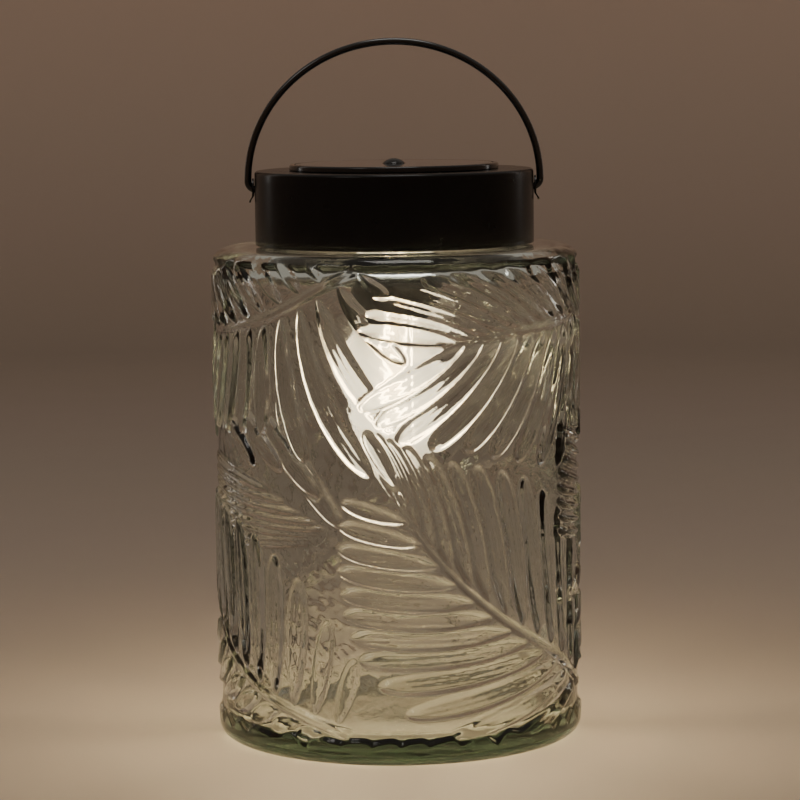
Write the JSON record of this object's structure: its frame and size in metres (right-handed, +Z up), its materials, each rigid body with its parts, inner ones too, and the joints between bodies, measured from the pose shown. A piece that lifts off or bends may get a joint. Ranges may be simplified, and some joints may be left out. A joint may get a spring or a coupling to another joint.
{
  "type": "jar lantern",
  "caption": "Solar jar lantern: pressed-glass jar with palm-leaf relief, screw-on black lid with solar module and hanging lamp, and a swinging wire bail.",
  "frame": {"origin": "centre of the jar's foot, on the surface it stands on", "axes": "+Z up along the jar's axis; the bail's pivots lie along X; -Y is the front"},
  "size_m": [0.139, 0.139, 0.2639],
  "materials": {
    "jar_glass": "pressed clear glass with a grey-green tint",
    "bulb_glass": "thin clear glass",
    "lid_black": "satin black paint on steel",
    "bail_black": "satin black paint on wire",
    "bezel_black": "gloss black",
    "panel_resin": "clear gloss resin over dark cells",
    "cell_blue": "dark blue silicon with fine silver lines",
    "button_black": "gloss black",
    "plastic_black": "fine moulded black",
    "plastic_white": "moulded white",
    "seal_white": "matt silicone",
    "plain_steel": "bright plated",
    "base_brass": "satin",
    "board_green": "solder mask",
    "battery_sleeve": "shrink sleeve",
    "filament_yellow": "phosphor coat",
    "lead_red": "insulation",
    "lead_black": "insulation"
  },
  "bodies": {
    "jar": {"glass_jar": "jar_glass"},
    "seal": {"seal_ring": "seal_white"},
    "lid": {"lid_shell": "lid_black", "thread_ring": "plastic_black", "solar_bezel": "bezel_black", "solar_cell_left": "cell_blue", "solar_cell_right": "cell_blue", "panel_cover": "panel_resin", "battery_housing": "plastic_black", "housing_screw_1": "plain_steel", "housing_screw_2": "plain_steel", "housing_screw_3": "plain_steel", "circuit_board": "board_green", "tact_switch": "plastic_black", "solar_lead_left": "lead_red", "solar_lead_right": "lead_red", "battery": "battery_sleeve", "contact_plate_negative": "plain_steel", "contact_plate_positive": "plain_steel", "lamp_socket": "plastic_black", "bulb_glass": "bulb_glass", "bulb_base": "base_brass", "lamp_lead_left": "lead_black", "lamp_lead_right": "lead_black", "filament_stem": "bulb_glass", "led_filament_1": "filament_yellow", "led_filament_2": "filament_yellow", "led_filament_3": "filament_yellow", "led_filament_4": "filament_yellow", "bail_ear_left": "lid_black", "bail_ear_right": "lid_black"},
    "button": {"push_button": "button_black", "switch_plunger": "plastic_white", "button_spring": "plain_steel"},
    "battery_door": {"battery_door": "plastic_black"},
    "bail": {"bail_handle": "bail_black", "push_nut_left": "plain_steel", "push_nut_right": "plain_steel"}
  },
  "joints": [
    {"name": "lid_lift", "type": "slide", "parent": "jar", "child": "seal", "axis": [0, 0, 1], "range_m": [0, 0.125]},
    {"name": "lid_turn", "type": "hinge", "parent": "seal", "child": "lid", "pos_m": [0, 0, 0.2098], "axis": [0, 0, 1], "range_deg": [0, 120]},
    {"name": "bail_swing", "type": "hinge", "parent": "lid", "child": "bail", "pos_m": [0, 0, 0.2076], "axis": [1, 0, 0], "range_deg": [-98, 98]},
    {"name": "button_press", "type": "slide", "parent": "lid", "child": "button", "axis": [0, 0, -1], "range_m": [0, 0.0008], "stiffness_N_per_m": 300, "springref_m": -0.001, "deforming": ["button_spring"]},
    {"name": "battery_door_release", "type": "slide", "parent": "lid", "child": "battery_door", "axis": [0, 0, -1], "range_m": [0, 0.018]}
  ]
}
